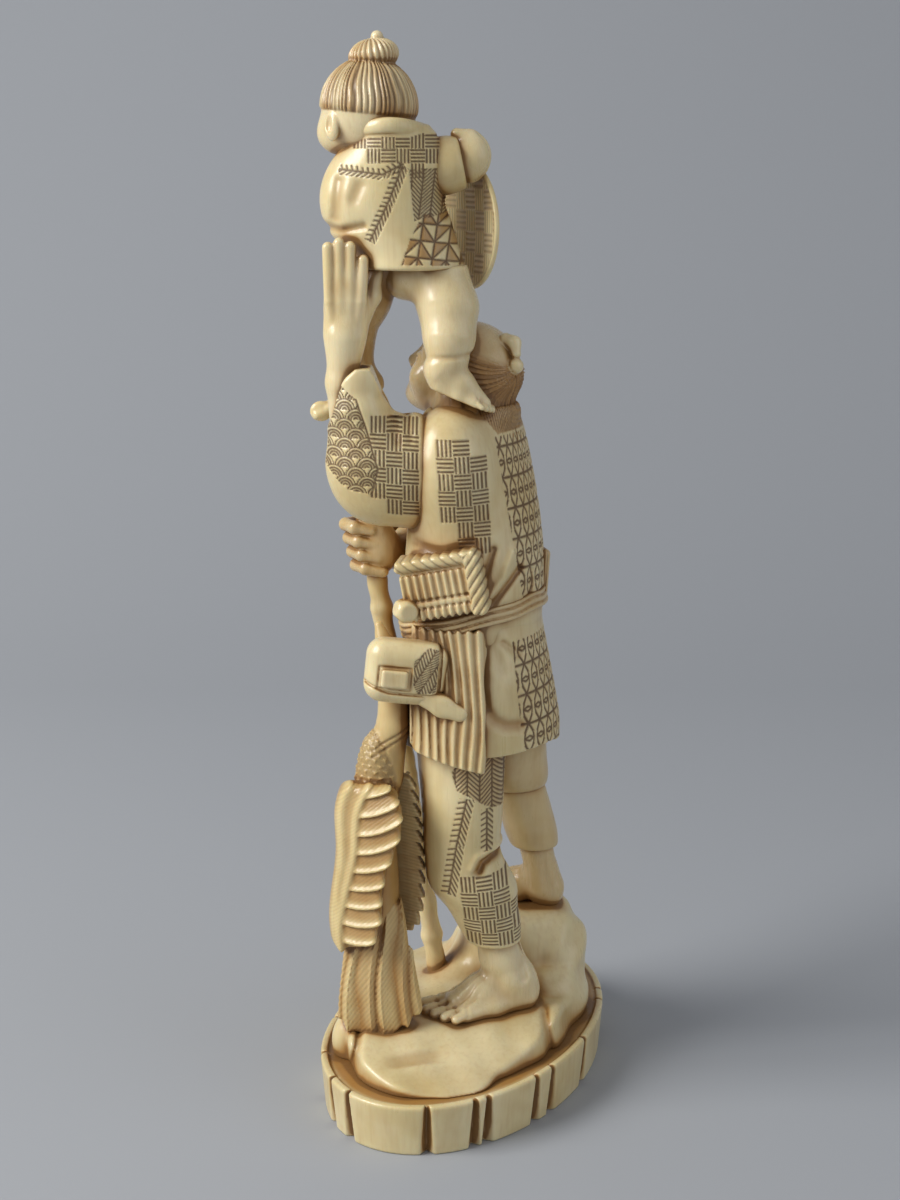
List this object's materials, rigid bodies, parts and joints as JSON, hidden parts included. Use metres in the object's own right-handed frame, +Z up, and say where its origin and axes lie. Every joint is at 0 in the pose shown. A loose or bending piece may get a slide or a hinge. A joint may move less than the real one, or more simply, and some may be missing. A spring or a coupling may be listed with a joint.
{
  "type": "okimono carving",
  "caption": "Tall sectional ivory-type figure group: a man with a staff lifts a child holding a round basket, with a bird at his side, on a rock and a grooved oval plinth.",
  "frame": {"origin": "centre of the plinth's flat underside", "axes": "+Z up, +X to the man's left along the plinth's long axis, the man faces -Y"},
  "size_m": [0.104, 0.0673, 0.2601],
  "materials": {
    "ivory_engraved": "aged ivory, polished, with stained engraving",
    "ivory_polished": "aged ivory, polished bare",
    "ivory_base": "aged ivory, polished, stained where the rock meets the plinth",
    "ivory_pegs": "plain ivory dowel"
  },
  "bodies": {
    "root": {"arm_pegs": "ivory_pegs", "basket": "ivory_engraved", "bead": "ivory_engraved", "belt": "ivory_engraved", "bird_body": "ivory_engraved", "bird_left_wing": "ivory_engraved", "bird_right_wing": "ivory_engraved", "bird_tail": "ivory_engraved", "child_head": "ivory_polished", "child_jacket": "ivory_engraved", "child_left_hand": "ivory_polished", "child_left_leg": "ivory_polished", "child_left_sleeve": "ivory_engraved", "child_pegs": "ivory_pegs", "child_right_hand": "ivory_polished", "child_right_leg": "ivory_polished", "child_right_sleeve": "ivory_engraved", "creel": "ivory_engraved", "foot_pegs": "ivory_pegs", "hip_apron": "ivory_engraved", "jacket_body": "ivory_engraved", "jacket_skirt": "ivory_engraved", "left_foot": "ivory_polished", "left_forearm": "ivory_polished", "left_sleeve": "ivory_engraved", "left_trouser": "ivory_engraved", "leg_pegs": "ivory_pegs", "man_head": "ivory_polished", "neck_pegs": "ivory_pegs", "pipe_case": "ivory_engraved", "plinth": "ivory_base", "plinth_pegs": "ivory_pegs", "pouch_clasp": "ivory_engraved", "right_foot": "ivory_polished", "right_gaiter": "ivory_engraved", "right_hand": "ivory_polished", "right_sleeve": "ivory_engraved", "right_trouser": "ivory_engraved", "rock_base": "ivory_base", "staff": "ivory_engraved", "tail_peg": "ivory_pegs", "tobacco_pouch": "ivory_engraved", "tucked_fan": "ivory_engraved", "waist_pegs": "ivory_pegs", "wing_pegs": "ivory_pegs"}
  },
  "joints": []
}
